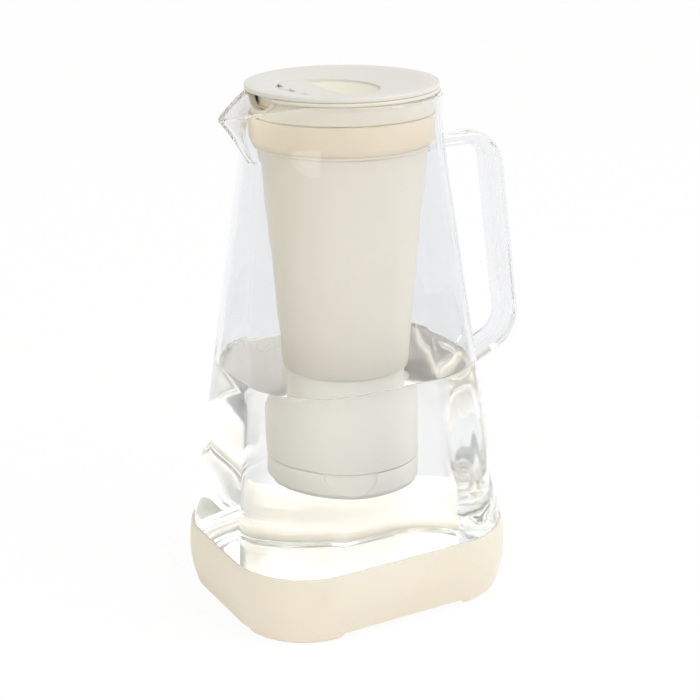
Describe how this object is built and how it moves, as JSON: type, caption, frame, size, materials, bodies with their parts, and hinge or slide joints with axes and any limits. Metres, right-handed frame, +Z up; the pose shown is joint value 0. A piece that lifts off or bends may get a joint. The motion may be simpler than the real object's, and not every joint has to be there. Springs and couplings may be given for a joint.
{
  "type": "water filter pitcher with flip lid",
  "caption": "Tapered glass water pitcher with a pouring lip and loop handle, a rubber boot, a lid with a flip cover over the fill opening, and a filter hanging inside.",
  "frame": {"origin": "on the neck's axis, on the surface that the pitcher stands on", "axes": "+Z up, -X towards the spout, +X towards the handle, Y across the pitcher"},
  "size_m": [0.1825, 0.127, 0.27],
  "materials": {
    "glass": "clear, polished",
    "boot": "matt cream silicone",
    "reservoir": "satin cream-grey, slightly milky",
    "seal": "matt silicone",
    "lid": "satin pale grey-cream",
    "filter_shell": "fine satin off-white",
    "microfilter_shell": "fine satin off-white",
    "potting": "cast resin",
    "fibre": "fine white fibre",
    "felt": "pressed white felt",
    "carbon": "packed black granules",
    "o_ring": "black, smooth",
    "pin": "drawn wire"
  },
  "bodies": {
    "vessel": {"glass_body": "glass", "glass_handle": "glass", "base_boot": "boot"},
    "reservoir": {"reservoir": "reservoir", "reservoir_seal": "seal", "cartridge_o_ring": "o_ring"},
    "lid": {"lid": "lid", "lid_seal": "seal", "hinge_pin": "pin"},
    "flip_cover": {"flip_cover": "lid"},
    "microfilter": {"microfilter_housing": "microfilter_shell", "microfilter_cap": "microfilter_shell", "potting_disc": "potting", "fibre_bundle": "fibre", "microfilter_o_ring": "o_ring"},
    "cartridge": {"cartridge_shell": "filter_shell", "cartridge_inlet": "filter_shell", "upper_felt": "felt", "carbon_media": "carbon", "lower_felt": "felt"},
    "cartridge_cap": {"cartridge_cap": "filter_shell"}
  },
  "joints": [
    {"name": "reservoir_lift", "type": "slide", "parent": "vessel", "child": "reservoir", "axis": [0, 0, 1], "range_m": [0, 0.205]},
    {"name": "lid_lift", "type": "slide", "parent": "reservoir", "child": "lid", "axis": [0, 0, 1], "range_m": [0, 0.04]},
    {"name": "cover_hinge", "type": "hinge", "parent": "lid", "child": "flip_cover", "pos_m": [-0.0296, 0, 0.26609], "axis": [0, -1, 0], "range_deg": [0, 90]},
    {"name": "microfilter_lift", "type": "slide", "parent": "reservoir", "child": "microfilter", "axis": [0, 0, 1], "range_m": [0, 0.055]},
    {"name": "cartridge_twist", "type": "hinge", "parent": "reservoir", "child": "cartridge", "pos_m": [0, 0, 0.115], "axis": [0, 0, -1], "range_deg": [0, 40]},
    {"name": "cap_twist", "type": "hinge", "parent": "cartridge", "child": "cartridge_cap", "pos_m": [0, 0, 0.07], "axis": [0, 0, -1], "range_deg": [0, 30]}
  ]
}
